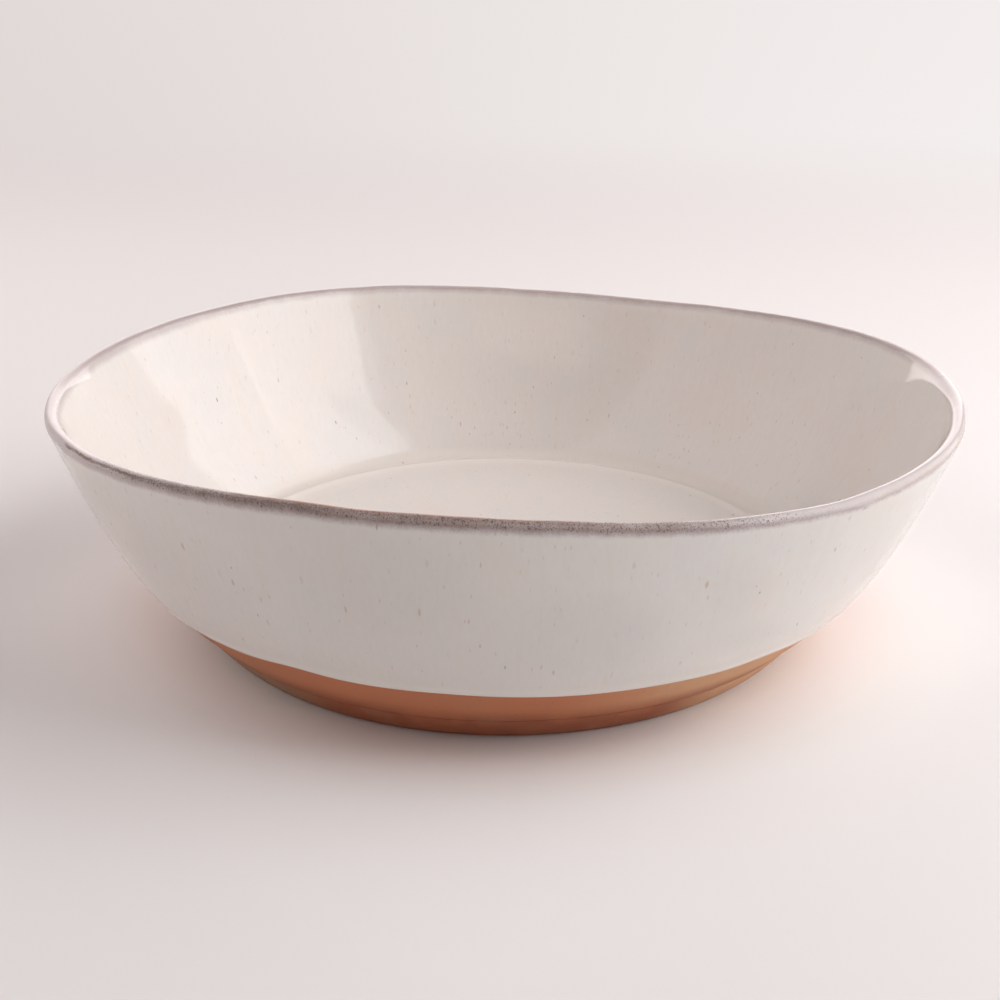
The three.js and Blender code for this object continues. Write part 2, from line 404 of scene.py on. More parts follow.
def set_place(piece, first_ring, place, pole=None):
    """Keeps the unrolled place of rings of points with a mesh, for its materials."""
    values = np.zeros((len(piece.data.vertices), 3))
    start = first_ring * AROUND
    values[start : start + len(place) * AROUND] = place.reshape(-1, 3)
    if pole is not None:
        values[-1] = pole
    piece.data.attributes.new("place", "FLOAT_VECTOR", "POINT").data.foreach_set("vector", values.ravel())


def set_glaze_normals(piece, first_ring, normals, has_pole):
    """Gives the glaze's face the whole bowl's normals, so that no seam shows, and other faces their own."""
    mesh = piece.data
    values = np.zeros((len(mesh.vertices), 3))
    values[:, 2] = 1
    on_face = np.zeros(len(mesh.vertices), bool)
    start, end = first_ring * AROUND, (first_ring + len(normals)) * AROUND
    values[start:end] = normals.reshape(-1, 3)
    on_face[start:end] = True
    on_face[-1] = on_face[-1] or has_pole
    corners = np.zeros(len(mesh.loops), int)
    mesh.loops.foreach_get("vertex_index", corners)
    starts = np.zeros(len(mesh.polygons), int)
    mesh.polygons.foreach_get("loop_start", starts)
    own = np.zeros(3 * len(mesh.polygons))
    mesh.polygons.foreach_get("normal", own)
    owner = np.repeat(np.arange(len(starts)), np.diff(np.append(starts, len(corners))))
    smooth = np.minimum.reduceat(on_face[corners].astype(int), starts) > 0
    chosen = np.where(smooth[owner][:, None], values[corners], own.reshape(-1, 3)[owner])
    mesh.normals_split_custom_set(chosen.tolist())


def make_coats():
    """The three glaze coats, cut from one smooth face so that no seam shows between them."""
    seams = band_ends()
    first_end, second_end = seams
    face_falls = np.unique(np.concatenate([stations(*FACE_STEPS), seams]))
    back_falls = np.unique(np.concatenate([stations(*BACK_STEPS), seams]))
    face = rings_at(face_falls, True)
    back = rings_at(back_falls, False)
    normals = grid_normals(face, face_falls)
    place = place_of(face_falls)
    floor_poles = MM * np.array([[0, 0, FLOOR_TOP], [0, 0, FLOOR_TOP + GLAZE_THICKNESS]])
    pieces = []
    for name, start, end, poles in (
        ("outside_glaze_coat", 0, first_end, ()),
        ("rim_glaze_coat", first_end, second_end, ()),
        ("inside_glaze_coat", second_end, CENTRE, floor_poles),
    ):
        shown = (face_falls >= start) & (face_falls <= end)
        hidden = back[(back_falls >= start) & (back_falls <= end)][::-1]
        piece = solid_from(name, np.concatenate([hidden, face[shown]]), poles)
        set_place(piece, len(hidden), place[shown], (0, 0, MM * (CENTRE - CREST)) if len(poles) else None)
        set_glaze_normals(piece, len(hidden), normals[shown], len(poles) > 0)
        pieces.append(piece)
    return pieces


def rounded(corners):
    """A closed path through corners given as radius, height and rounding, each eased over its rounding."""
    count = len(corners)
    path = []
    for i, (radius, height, rounding) in enumerate(corners):
        here = np.array([radius, height], float)
        if not rounding:
            path.append(here)
            continue
        before = np.array(corners[i - 1][:2]) - here
        after = np.array(corners[(i + 1) % count][:2]) - here
        arriving = here + rounding * before / np.linalg.norm(before)
        leaving = here + rounding * after / np.linalg.norm(after)
        for t in np.linspace(0, 1, CORNER_STEPS):
            path.append((1 - t) ** 2 * arriving + 2 * t * (1 - t) * here + t**2 * leaving)
    return np.array(path)


def make_clay():
    """The bowl's clay: turned underside, seat, bare wall, and the wall, lip and floor under the glaze."""
    turned = spaced(TURNING_PITCH / 2, FOOT_INNER - TURNING_PITCH, TURNING_PITCH / 4)
    grooves = FOOT_RECESS + TURNING_DEPTH * np.sin(math.pi * turned / TURNING_PITCH) ** 2
    underside = np.stack([turned, grooves], -1)
    seat = np.array([[FOOT_INNER, FOOT_RECESS], FOOT_SEAT])
    under = np.concatenate([underside, seat])
    bare_falls = np.append(spaced(FOOT_FALL, 0, BARE_CLAY_STEP), BARE_CLAY_END)
    back_falls = np.unique(np.concatenate([stations(*BACK_STEPS), band_ends()]))
    falls = np.concatenate([bare_falls, back_falls])
    rings = np.concatenate([pulled(under[:, 0, None], under[:, 1, None]), rings_at(falls, False)])
    poles = MM * np.array([[0, 0, FOOT_RECESS], [0, 0, FLOOR_TOP]])
    piece = solid_from("clay_bowl", rings, poles)
    set_place(piece, len(under), place_of(falls))
    piece.data.set_sharp_from_angle(angle=math.radians(SHARP_ANGLE))
    return piece


def make_foot():
    """The ring that the bowl stands on, whose upper edge stands out from the wall by a thin ledge."""
    section = rounded(
        [
            (FOOT_INNER, 0, FOOT_EDGE_ROUND),
            (FOOT_RADIUS, 0, FOOT_EDGE_ROUND),
            (FOOT_RADIUS + FOOT_TOE_SPREAD, FOOT_TOE_HEIGHT, FOOT_EDGE_ROUND),
            (FOOT_TOP[0] + FOOT_LEDGE, FOOT_TOP[1] - FOOT_LEDGE / 2, FOOT_TOP_ROUND),
            (FOOT_TOP[0], FOOT_TOP[1], 0),
            (FOOT_SEAT[0], FOOT_SEAT[1], 0),
            (FOOT_INNER, FOOT_RECESS, 0),
        ]
    )
    piece = solid_from("clay_foot_ring", pulled(section[:, 0, None], section[:, 1, None]))
    piece.data.set_sharp_from_angle(angle=math.radians(SHARP_ANGLE))
    return piece


def add_node(tree, kind, values=None, **settings):
    """Adds a shader node with settings of its own and values, or other nodes' sockets, on its inputs."""
    node = tree.nodes.new("ShaderNode" + kind)
    for name, setting in settings.items():
        setattr(node, name, setting)
    for name, value in (values or {}).items():
        if isinstance(value, bpy.types.NodeSocket):
            tree.links.new(value, node.inputs[name])
        else:
            node.inputs[name].default_value = value
    return node


def calc(tree, operation, *terms):
    return add_node(tree, "Math", dict(enumerate(terms)), operation=operation).outputs[0]


def step(tree, value, start, end, low=0.0, high=1.0):
    """A smooth step from low to high while value goes from start to end."""
    values = {"Value": value, "From Min": start, "From Max": end, "To Min": low, "To Max": high}
    return add_node(tree, "MapRange", values, interpolation_type="SMOOTHSTEP").outputs["Result"]


def times(tree, *factors):
    product = factors[0]
    for factor in factors[1:]:
        product = calc(tree, "MULTIPLY", product, factor)
    return product


def over(tree, under, colour, cover):
    """Lays a colour over another with a cover from 0 to 1."""
    values = {0: cover, 6: under if isinstance(under, bpy.types.NodeSocket) else (*under, 1)}
    values[7] = colour if isinstance(colour, bpy.types.NodeSocket) else (*colour, 1)
    return add_node(tree, "Mix", values, data_type="RGBA").outputs[2]


def noise(tree, vector, size, detail=2.0, roughness=0.5):
    """Noise from 0 to 1 whose blots are about size millimetres wide."""
    values = {"Vector": vector, "Scale": 1 / (size * MM), "Detail": detail, "Roughness": roughness}
    return add_node(tree, "TexNoise", values).outputs[0]


def scaled(tree, vector, x, y, z):
    return add_node(tree, "VectorMath", {0: vector, 1: (x, y, z)}, operation="MULTIPLY").outputs["Vector"]


def specks(tree, vector, spacing, radius, kept):
    """Round specks of several sizes: where they are, and a random number for each one's colour."""
    cells = add_node(tree, "TexVoronoi", {"Vector": vector, "Scale": 1 / (spacing * MM)})
    random = add_node(tree, "SeparateColor", {"Color": cells.outputs["Color"]}).outputs
    reach = calc(tree, "MULTIPLY_ADD", random[1], radius / spacing, 0.45 * radius / spacing)
    inside = step(tree, cells.outputs["Distance"], reach, calc(tree, "MULTIPLY", reach, 0.5))
    chosen = calc(tree, "LESS_THAN", random[0], kept)
    return times(tree, inside, chosen), random[2]


def new_material(name, roughness, ior=1.5):
    material = bpy.data.materials.new(name)
    material.use_nodes = True
    shader = material.node_tree.nodes["Principled BSDF"]
    shader.inputs["Roughness"].default_value = roughness
    shader.inputs["IOR"].default_value = ior
    return material, material.node_tree, shader


# Glaze and clay colours, as shares of the light that they throw back
CREAM = (0.80, 0.762, 0.728)
CREAM_WARM = (0.82, 0.757, 0.69)
CREAM_COOL = (0.77, 0.755, 0.738)
# Thick cream glaze, also laid on as a painted reflection on the glaze's roll and as a painted highlight on
# the bead's ridge
CREAM_THICK_AND_HIGHLIGHT = (0.85, 0.812, 0.765)
# Pooled cream glaze, also laid on as painted shade beside the bead
CREAM_POOL_AND_SHADE = (0.775, 0.72, 0.65)
# Greyer cream, laid on as painted shade in the finger hollows
DENT_SHADE_GREY = (0.62, 0.575, 0.57)
SPECK_TAN = (0.60, 0.44, 0.32)
SPECK_RUST = (0.50, 0.25, 0.12)
SPECK_BROWN = (0.30, 0.20, 0.15)
LILAC = (0.53, 0.468, 0.458)
MAUVE = (0.40, 0.32, 0.315)
SLATE = (0.07, 0.062, 0.068)
PLUM = (0.36, 0.28, 0.27)
BARK = (0.31, 0.225, 0.195)
COAL = (0.17, 0.12, 0.108)
UMBER = (0.17, 0.088, 0.06)
RUST = (0.31, 0.145, 0.078)
# Painted shade in the dark line where the glaze ends, over its thin brown edge
EDGE_SHADE = (0.42, 0.28, 0.2)
CLAY = (0.54, 0.188, 0.084)
CLAY_ORANGE = (0.57, 0.20, 0.083)
CLAY_TAN = (0.46, 0.21, 0.115)
CLAY_DARK = (0.20, 0.07, 0.035)
CLAY_PALE = (0.64, 0.33, 0.18)
CLAY_RED = (0.33, 0.095, 0.038)
# Olive for painted shade on the clay's left and straw for painted light on its right
CLAY_OLIVE = (0.30, 0.18, 0.10)
CLAY_STRAW = (0.66, 0.39, 0.21)

# Gloss, and what thin glaze and grit add to the glaze's roughness
GLAZE_IOR = 1.52
GLAZE_ROUGHNESS = (0.045, 0.1)
THIN_ROUGHNESS = 0.27
GRIT_ROUGHNESS = 0.15
CLAY_MEAN_ROUGHNESS = 0.6
CLAY_ROUGHNESS = (0.55, 0.72)

# Widths of the patterns' blots, in millimetres
CLOUD_SIZE = 30
DRIFT_SIZE = 26
RUN_SIZE = 4
MOTTLE_SIZE = 1.8
SMEAR_SIZE = 14
SWELL_SIZE = 9
PIMPLE_SIZE = 1.3
BEND_SIZE = 0.7
BLOTCH_SIZE = 4.5
RAGGED_SIZE = 0.55
FINE_SIZE = 0.45
GRIT_SIZE = 0.55
WANDER_SIZE = 6
JITTER_SIZE = 0.8
PATCH_SIZE = 22
SAND_SIZE = 0.5
TURNING_SIZE = 0.9

# How far specks, runs and turning marks are drawn out, as shares of their plain scale
SPECK_FALL_SHARE = 0.38
RUN_FALL_SHARE = 0.07
TURNING_SHARE = 0.02

# Relief of the bump, in millimetres, and what each pattern gives to it
GLAZE_RELIEF = 0.01
SWELL_SHARE = 3.0
GRIT_SHARE = 1.5
CLAY_RELIEF = 0.05
TURNING_RELIEF_SHARE = 1.2
SAND_SHARE = 0.8
PIT_SHARE = 2.0

# The pattern's coordinates change at the bead's end, and its fine relief fades out there, in millimetres
CHANGE_FADE = (0.6, 4)

# Specks: spacing, radius and the share kept, then the covers of the faintest and the strongest of them. The
# noise bends them by up to SPECK_BEND, and faint ones gain strength within LOW_WALL_REACH of the floor's edge
FAINT_SPECKS = ((2.1, 0.36, 0.72), (0.15, 0.8))
SOFT_SPECKS = ((3.9, 0.62, 0.5), (0.14, 0.75))
STRONG_SPECKS = ((4.8, 0.42, 0.6), (0.2, 0.85))
DARK_DOTS = ((5, 0.24, 0.5), (0.2, 0.7))
CLAY_GROG = ((1.7, 0.26, 0.45), (0.1, 0.6))
CLAY_PITS = ((3.6, 0.42, 0.28), (0.25, 0.9))
SPECK_BEND = (0.6, 0.6, 0.35)
LOW_WALL_REACH = 45

# Where a blot starts to fade and where it ends, as squares of its distance in half widths
BLOT_CORE = 0.3
BLOT_EDGE = 1.4
# The same for the painted shade in the finger hollows, and its strength for each millimetre of depth
DENT_SHADE_CORE = 0.0
DENT_SHADE_EDGE = 3.0
DENT_SHADE_STRENGTH = 0.2

# Falls from the glaze's edge between which its white roll, partly a painted reflection, and its dark line,
# partly painted shade, fade out
ROLL_FADE = (7, 1)
EDGE_SHADE_FADE = (0.38, 0.05)

# Beside the bead: tan, partly pooled glaze and partly painted shade, and a painted highlight in white over
# its ridge: widths and fades
POOL_AND_SHADE_WIDTH = 5
POOL_AND_SHADE_FADE = 4
RIDGE_HIGHLIGHT_HALF_WIDTH = 1.5
RIDGE_HIGHLIGHT_FADE = 2.5

# The lip's veil. Bands are low, high and fade in millimetres from its crest, below 0 outside. Arcs are start,
# end and fade in degrees round the bowl
VEIL_START = (-5.2, -3.2)
VEIL_END = (2.4, 3.4)
VEIL_FADE = (2.6, -0.8)
VEIL_FRONT_ARC = (-132, -66, 22)
VEIL_SIDE_ARC = (-66, -24, 12)
MAUVE_BAND = (-3.2, -2.8, 0.7)
THIN_BAND = (-3, 1.4, 1.5)
SHINY_ARC = (-58, -8, 10)

# Dark grit in the lip's glaze, which shows where the grain is over a limit
GRIT_FRONT_ARC = (-138, -60, 14)
GRIT_DENSE_ARC = (-98, -72, 14)
GRIT_BAND = (-3.4, 1.2, 0.8)
GRIT_DENSE_BAND = (-2.5, 0.6, 1.2)
GRIT_LIMIT = 0.655
GRIT_SOFTNESS = 0.06

# Strokes of colour along the lip: colour, band, arc, and the pattern that breaks it up, with the range that
# the pattern is read over and the covers at its ends. The last ones lie over the grit
STROKES_UNDER_GRIT = [
    (PLUM, (-0.6, 1.6, 0.9), (8, 176, 14), "fine", (0.3, 0.6, 0.45, 0.7)),
    (PLUM, (-0.4, 0.8, 0.5), (130, 147, 8), "blotch", (0.3, 0.6, 0.5, 0.5)),
    (BARK, (-2.6, 2.8, 0.9), (-124, -74, 16), "blotch", (0.3, 0.65, 0.45, 0.8)),
    (COAL, (-1.4, 2.8, 0.5), (-114, -84, 8), "ragged", (0.38, 0.56, 0.225, 0.6)),
    (RUST, (-0.45, 2.8, 0.3), (-116, -86, 7), "blotch", (0.3, 0.6, 0.55, 0.85)),
]
STROKES_OVER_GRIT = [
    (COAL, (-2.2, -1.3, 0.5), (-134, -113, 5), "ragged", (0.38, 0.56, 0.2, 0.8)),
    (UMBER, (-1.75, -1.3, 0.35), (-150, -136, 2.5), "blotch", (0.3, 0.6, 0.55, 0.85)),
    (SPECK_TAN, (-2.3, -2.1, 0.3), (-42, -18, 8), "ragged", (0.38, 0.56, 0.1, 0.4)),
    (RUST, (-0.2, 0.3, 0.4), (10, 120, 15), "blotch", (0.45, 0.7, 0, 0.4)),
]

# Runs of iron that hang from the rim's band: angle, drop, half width and half height, colour and strength
IRON_RUNS = [
    (-153, -4.6, 0.5, 2.2, UMBER, 0.55), (-149, -4.4, 0.45, 1.6, RUST, 0.5),
    (-141, -5.4, 0.4, 1.7, RUST, 0.5), (-127, -4.8, 0.4, 1.8, RUST, 0.4),
    (-104, -4.4, 0.55, 1.3, RUST, 0.75), (-96, -1.9, 0.5, 0.8, RUST, 0.8),
    (-90, -4.4, 0.9, 0.5, SPECK_TAN, 0.5), (-84, -4.3, 0.6, 1.1, UMBER, 0.65),
    (-84.5, -1.8, 0.5, 0.7, RUST, 0.8), (-78, -4.2, 0.4, 0.45, RUST, 0.8),
    (-75, -1.9, 0.6, 0.9, RUST, 0.8), (-46.5, -4.6, 1.5, 0.6, UMBER, 0.35),
    (-12, -4.8, 0.5, 1.4, RUST, 0.5), (21, -4.6, 0.5, 1.8, UMBER, 0.5),
    (47, -4.2, 0.6, 1.2, RUST, 0.6), (69, -5, 0.45, 1.8, RUST, 0.5),
    (96, -4.4, 0.8, 1, UMBER, 0.5), (118, -4.7, 0.5, 1.6, RUST, 0.6),
    (149, -4.3, 0.6, 1.3, UMBER, 0.5), (171, -4.8, 0.5, 1.8, RUST, 0.55),
]

# Arcs of colour on the clay: colour, arc and strength. Straw on the right is painted light, olive on the left
# painted shade, and the foot's tan lies at its back
WALL_SIDE_LIGHT_AND_SHADE = [(CLAY_STRAW, (-60, -20, 24), 0.8), (CLAY_OLIVE, (-175, -140, 25), 0.3)]
FOOT_SIDE_LIGHT_AND_TONE = [
    (CLAY_OLIVE, (-175, -135, 20), 1),
    (CLAY_STRAW, (-50, -20, 16), 0.8),
    (CLAY_TAN, (30, 140, 30), 0.7),
]

# Red over the foot, its heights from the foot's top edge, the foot's worn toe, and the dark line under the
# glaze's edge: darker clay and painted shade
RED_START = 9
RED_END = -1
WORN_HEIGHTS = (0.9, 0.2)
GLAZE_EDGE_SHADE_FALLS = (-0.7, -0.1)


def turn_of(tree, place, degrees):
    """The cosine of the angle round the bowl between a place and some degrees."""
    angle = math.radians(degrees)
    towards = (math.cos(angle) / (RIM_RADIUS * MM), math.sin(angle) / (RIM_RADIUS * MM), 0)
    return add_node(tree, "VectorMath", {0: place, 1: towards}, operation="DOT_PRODUCT").outputs["Value"]


def arc(tree, place, start, end, fade):
    """1 from a start to an end in degrees round the bowl, falling to 0 over fade degrees past them."""
    half = math.radians((end - start) / 2)
    cosine = turn_of(tree, place, (start + end) / 2)
    return step(tree, cosine, math.cos(half + math.radians(fade)), math.cos(half))


def band(tree, value, low, high, fade):
    """1 between low and high, falling to 0 over fade past them."""
    return times(tree, step(tree, value, low - fade, low), step(tree, value, high + fade, high))


def blot(tree, place, level, degrees, at, half_width, half_height, edge=BLOT_EDGE, core=BLOT_CORE):
    """1 in an oval round an angle and a level, in millimetres, falling to 0 between a core and an edge."""
    gap = calc(tree, "SUBTRACT", 1, turn_of(tree, place, degrees))
    across = calc(tree, "MULTIPLY", gap, 2 * (RIM_RADIUS / half_width) ** 2)
    down = calc(tree, "DIVIDE", calc(tree, "SUBTRACT", level, at), half_height)
    return step(tree, calc(tree, "MULTIPLY_ADD", down, down, across), edge, core)


def speck_layer(tree, vector, sizes, covers):
    """Specks, how strongly each one covers what is under it, and each one's random number."""
    spots, shade = specks(tree, vector, *sizes)
    return spots, times(tree, spots, step(tree, shade, 0, 1, *covers)), shade


def cream_ground(tree, vector, place):
    """The cream glaze under its specks: clouds, fine mottling and faint runs down the wall."""
    clouds = noise(tree, place, CLOUD_SIZE, 2)
    colour = over(tree, CREAM, CREAM_WARM, step(tree, clouds, 0.5, 0.7, high=0.4))
    colour = over(tree, colour, CREAM_COOL, step(tree, clouds, 0.5, 0.32, high=0.5))
    runs = noise(tree, scaled(tree, place, 1, 1, RUN_FALL_SHARE), RUN_SIZE, 3)
    colour = over(tree, colour, CREAM_POOL_AND_SHADE, step(tree, runs, 0.52, 0.8, high=0.35))
    mottle = noise(tree, vector, MOTTLE_SIZE, 3, 0.6)
    colour = over(tree, colour, CREAM_THICK_AND_HIGHLIGHT, step(tree, mottle, 0.45, 0.75, high=0.3))
    return over(tree, colour, CREAM_POOL_AND_SHADE, step(tree, mottle, 0.5, 0.25, high=0.3))


def speck_places(tree, vector):
    """The places that the specks are read at, bent a little so that no speck is round."""
    values = {"Vector": vector, "Scale": 1 / (BEND_SIZE * MM), "Detail": 1.0}
    warp = add_node(tree, "TexNoise", values).outputs["Color"]
    bend = {0: warp, 1: [MM * reach for reach in SPECK_BEND], 2: vector}
    return add_node(tree, "VectorMath", bend, operation="MULTIPLY_ADD").outputs["Vector"]


def cream_specks(tree, vector, colour, place, fall):
    """Iron specks that bled through the glaze: many faint ones, fewer strong ones, and dark dots."""
    bent = speck_places(tree, vector)
    drifts = step(tree, noise(tree, place, DRIFT_SIZE, 2), 0.36, 0.62, 0.5, 1)
    low = step(tree, fall, MM * (FLOOR_EDGE - LOW_WALL_REACH), MM * FLOOR_EDGE, 0.55, 1)
    outside = step(tree, fall, MM * LIP_END, MM * LIP_START, 0.35, 1)
    _, faint, _ = speck_layer(tree, bent, *FAINT_SPECKS)
    colour = over(tree, colour, SPECK_TAN, times(tree, faint, drifts, low))
    _, soft, _ = speck_layer(tree, bent, *SOFT_SPECKS)
    colour = over(tree, colour, SPECK_TAN, times(tree, soft, drifts, outside))
    _, strong, shade = speck_layer(tree, bent, *STRONG_SPECKS)
    kind = over(tree, SPECK_RUST, SPECK_BROWN, step(tree, shade, 0.6, 0.8))
    colour = over(tree, colour, kind, times(tree, strong, drifts))
    _, dots, _ = speck_layer(tree, bent, *DARK_DOTS)
    return over(tree, colour, SPECK_BROWN, dots)


def painted_dent_shade(tree, colour, place, mm):
    """Painted shade in the hollows that fingers left outside: greyer cream over each hollow, stronger where
    it is deeper.
    """
    for degrees, height, half_angle, half_height, depth in FINGER_DENTS:
        half_width = math.radians(half_angle) * RIM_RADIUS
        level = height - RIM_HEIGHT - LIP_RADIUS
        shape = blot(tree, place, mm, degrees, level, half_width, half_height, DENT_SHADE_EDGE, DENT_SHADE_CORE)
        colour = over(tree, colour, DENT_SHADE_GREY, times(tree, shape, DENT_SHADE_STRENGTH * depth))
    return colour


def glaze_edge(tree, colour, fall):
    """The fat roll of glaze above its edge, whiter for its thickness and as a painted reflection of the
    floor, and the thin dark line where it ends, its thin brown edge darkened by painted shade.
    """
    roll = step(tree, fall, MM * ROLL_FADE[0], MM * ROLL_FADE[1], high=0.7)
    line = step(tree, fall, MM * EDGE_SHADE_FADE[0], MM * EDGE_SHADE_FADE[1], high=0.8)
    return over(tree, over(tree, colour, CREAM_THICK_AND_HIGHLIGHT, roll), EDGE_SHADE, line)


def bead_shade(tree, colour, fall):
    """Tan beside the bead, partly pooled glaze and partly painted shade, and a painted highlight in white
    over its ridge.
    """
    mm = calc(tree, "DIVIDE", fall, MM)
    pool_and_shade = band(tree, mm, FLOOR_EDGE - POOL_AND_SHADE_WIDTH, FLOOR_EDGE, POOL_AND_SHADE_FADE)
    colour = over(tree, colour, CREAM_POOL_AND_SHADE, times(tree, pool_and_shade, 0.45))
    middle = FLOOR_EDGE + BEAD_SWELL_PLACE
    ridge_highlight = band(tree, mm, middle - RIDGE_HIGHLIGHT_HALF_WIDTH, middle + RIDGE_HIGHLIGHT_HALF_WIDTH, RIDGE_HIGHLIGHT_FADE)
    return over(tree, colour, CREAM_THICK_AND_HIGHLIGHT, times(tree, ridge_highlight, 0.9))


def rim_veil(tree, colour, place, mm, patterns):
    """The thin glaze over the lip, lilac on top and mauve at its outer edge."""
    front = arc(tree, place, *VEIL_FRONT_ARC)
    end = step(tree, turn_of(tree, place, 180), 0.7, 0.96, *VEIL_END)
    inner = step(tree, calc(tree, "SUBTRACT", mm, end), *VEIL_FADE)
    cover = times(tree, step(tree, mm, *VEIL_START), inner, calc(tree, "MULTIPLY_ADD", front, 0.06, 0.86))
    colour = over(tree, colour, LILAC, times(tree, cover, step(tree, patterns["blotch"], 0.25, 0.6, 0.9, 1)))
    side = times(tree, arc(tree, place, *VEIL_SIDE_ARC), 0.3)
    strength = calc(tree, "ADD", calc(tree, "MULTIPLY_ADD", front, 0.4, 0.15), side)
    broken = step(tree, patterns["fine"], 0.36, 0.58, 0.45, 1)
    return over(tree, colour, MAUVE, times(tree, band(tree, mm, *MAUVE_BAND), strength, broken))


def rim_strokes(tree, colour, place, mm, patterns, strokes):
    """Brown, rusty and dark strokes where the lip's glaze is thinnest."""
    for tone, across, around, pattern, reading in strokes:
        where = times(tree, band(tree, mm, *across), arc(tree, place, *around))
        colour = over(tree, colour, tone, times(tree, where, step(tree, patterns[pattern], *reading)))
    return colour


def rim_grit(tree, colour, place, mm):
    """Fine dark specks in the lip's glaze, dense at the front of the bowl and sparser elsewhere."""
    dense = arc(tree, place, *GRIT_DENSE_ARC)
    front = arc(tree, place, *GRIT_FRONT_ARC)
    grain = noise(tree, place, GRIT_SIZE, 3, 0.75)
    amount = calc(tree, "MULTIPLY_ADD", front, 0.085, calc(tree, "MULTIPLY_ADD", dense, 0.03, 0.01))
    amount = times(tree, amount, band(tree, mm, *GRIT_DENSE_BAND))
    limit = calc(tree, "SUBTRACT", GRIT_LIMIT, amount)
    shown = step(tree, grain, limit, calc(tree, "ADD", limit, GRIT_SOFTNESS))
    grit = times(tree, shown, band(tree, mm, *GRIT_BAND))
    return over(tree, colour, SLATE, times(tree, grit, calc(tree, "MULTIPLY_ADD", front, 0.5, 0.35))), grit


def rim_band(tree, colour, place, drop):
    """The lip, where the glaze runs thin and breaks to lilac, mauve, slate and rust."""
    patterns = {
        "blotch": noise(tree, place, BLOTCH_SIZE, 3),
        "fine": noise(tree, place, FINE_SIZE, 3, 0.7),
        "ragged": noise(tree, place, RAGGED_SIZE, 3, 0.7),
    }
    wander = step(tree, noise(tree, place, WANDER_SIZE, 3), 0.25, 0.75, -0.25, 0.25)
    jitter = step(tree, noise(tree, place, JITTER_SIZE, 2), 0.25, 0.75, -0.2, 0.2)
    mm = calc(tree, "ADD", drop, calc(tree, "ADD", wander, jitter))
    colour = rim_veil(tree, colour, place, mm, patterns)
    colour = rim_strokes(tree, colour, place, mm, patterns, STROKES_UNDER_GRIT)
    colour, grit = rim_grit(tree, colour, place, mm)
    colour = rim_strokes(tree, colour, place, mm, patterns, STROKES_OVER_GRIT)
    for degrees, at, half_width, half_height, tone, strength in IRON_RUNS:
        shape = blot(tree, place, mm, degrees, at, half_width, half_height)
        colour = over(tree, colour, tone, calc(tree, "MULTIPLY", shape, strength))
    shiny = calc(tree, "MULTIPLY_ADD", arc(tree, place, *SHINY_ARC), -0.85, 1)
    return colour, grit, times(tree, band(tree, mm, *THIN_BAND), shiny)


def glaze_bump(tree, shader, vector, place, fall, grit):
    """The glaze's slow waves, its fine pimples and the pits over its grit."""
    past = calc(tree, "ABSOLUTE", calc(tree, "SUBTRACT", fall, MM * BEAD_END))
    away = step(tree, past, MM * CHANGE_FADE[0], MM * CHANGE_FADE[1])
    fine = times(tree, noise(tree, vector, PIMPLE_SIZE, 2), away)
    height = calc(tree, "MULTIPLY_ADD", noise(tree, place, SWELL_SIZE, 1), SWELL_SHARE, fine)
    height = calc(tree, "SUBTRACT", height, calc(tree, "MULTIPLY", grit, GRIT_SHARE))
    bump = add_node(tree, "Bump", {"Height": height, "Strength": 1.0, "Distance": GLAZE_RELIEF * MM})
    tree.links.new(bump.outputs[0], shader.inputs["Normal"])


def glaze_material(name):
    material, tree, shader = new_material(name, GLAZE_ROUGHNESS[1], GLAZE_IOR)
    place = add_node(tree, "Attribute", attribute_name="place").outputs["Vector"]
    drop = add_node(tree, "SeparateXYZ", {0: place}).outputs[2]
    drop_mm = calc(tree, "DIVIDE", drop, MM)
    fall = calc(tree, "ADD", drop, MM * CREST)
    drawn = scaled(tree, place, 1, 1, SPECK_FALL_SHARE)
    flat = add_node(tree, "TexCoord").outputs["Object"]
    on_floor = calc(tree, "GREATER_THAN", fall, MM * BEAD_END)
    vector = add_node(tree, "Mix", {0: on_floor, 4: drawn, 5: flat}, data_type="VECTOR").outputs[1]

    colour = cream_ground(tree, vector, place)
    # Painted shade in the finger hollows
    colour = painted_dent_shade(tree, colour, place, drop_mm)
    colour = cream_specks(tree, vector, colour, place, fall)
    colour = glaze_edge(tree, colour, fall)
    colour = bead_shade(tree, colour, fall)
    colour, grit, thin = rim_band(tree, colour, place, drop_mm)
    tree.links.new(colour, shader.inputs["Base Color"])

    smear = noise(tree, place, SMEAR_SIZE, 3)
    plain = step(tree, smear, 0.3, 0.75, *GLAZE_ROUGHNESS)
    rough = calc(tree, "MULTIPLY_ADD", thin, THIN_ROUGHNESS, plain)
    tree.links.new(calc(tree, "MULTIPLY_ADD", grit, GRIT_ROUGHNESS, rough), shader.inputs["Roughness"])
    glaze_bump(tree, shader, vector, place, fall, grit)
    return material


def clay_grain(tree, place, ground):
    """The fired clay's own surface: soft patches, fine sand, dark pinholes and orange grog."""
    patches = noise(tree, place, PATCH_SIZE, 3)
    colour = over(tree, ground, CLAY_ORANGE, step(tree, patches, 0.5, 0.68, high=0.3))
    colour = over(tree, colour, CLAY_TAN, step(tree, patches, 0.48, 0.3, high=0.25))
    sand = noise(tree, place, SAND_SIZE, 3, 0.65)
    colour = over(tree, colour, CLAY_DARK, step(tree, sand, 0.5, 0.25, high=0.3))
    colour = over(tree, colour, CLAY_PALE, step(tree, sand, 0.55, 0.8, high=0.22))
    _, grog, _ = speck_layer(tree, place, *CLAY_GROG)
    colour = over(tree, colour, CLAY_ORANGE, grog)
    pits, dark, _ = speck_layer(tree, place, *CLAY_PITS)
    return over(tree, colour, CLAY_DARK, dark), sand, pits


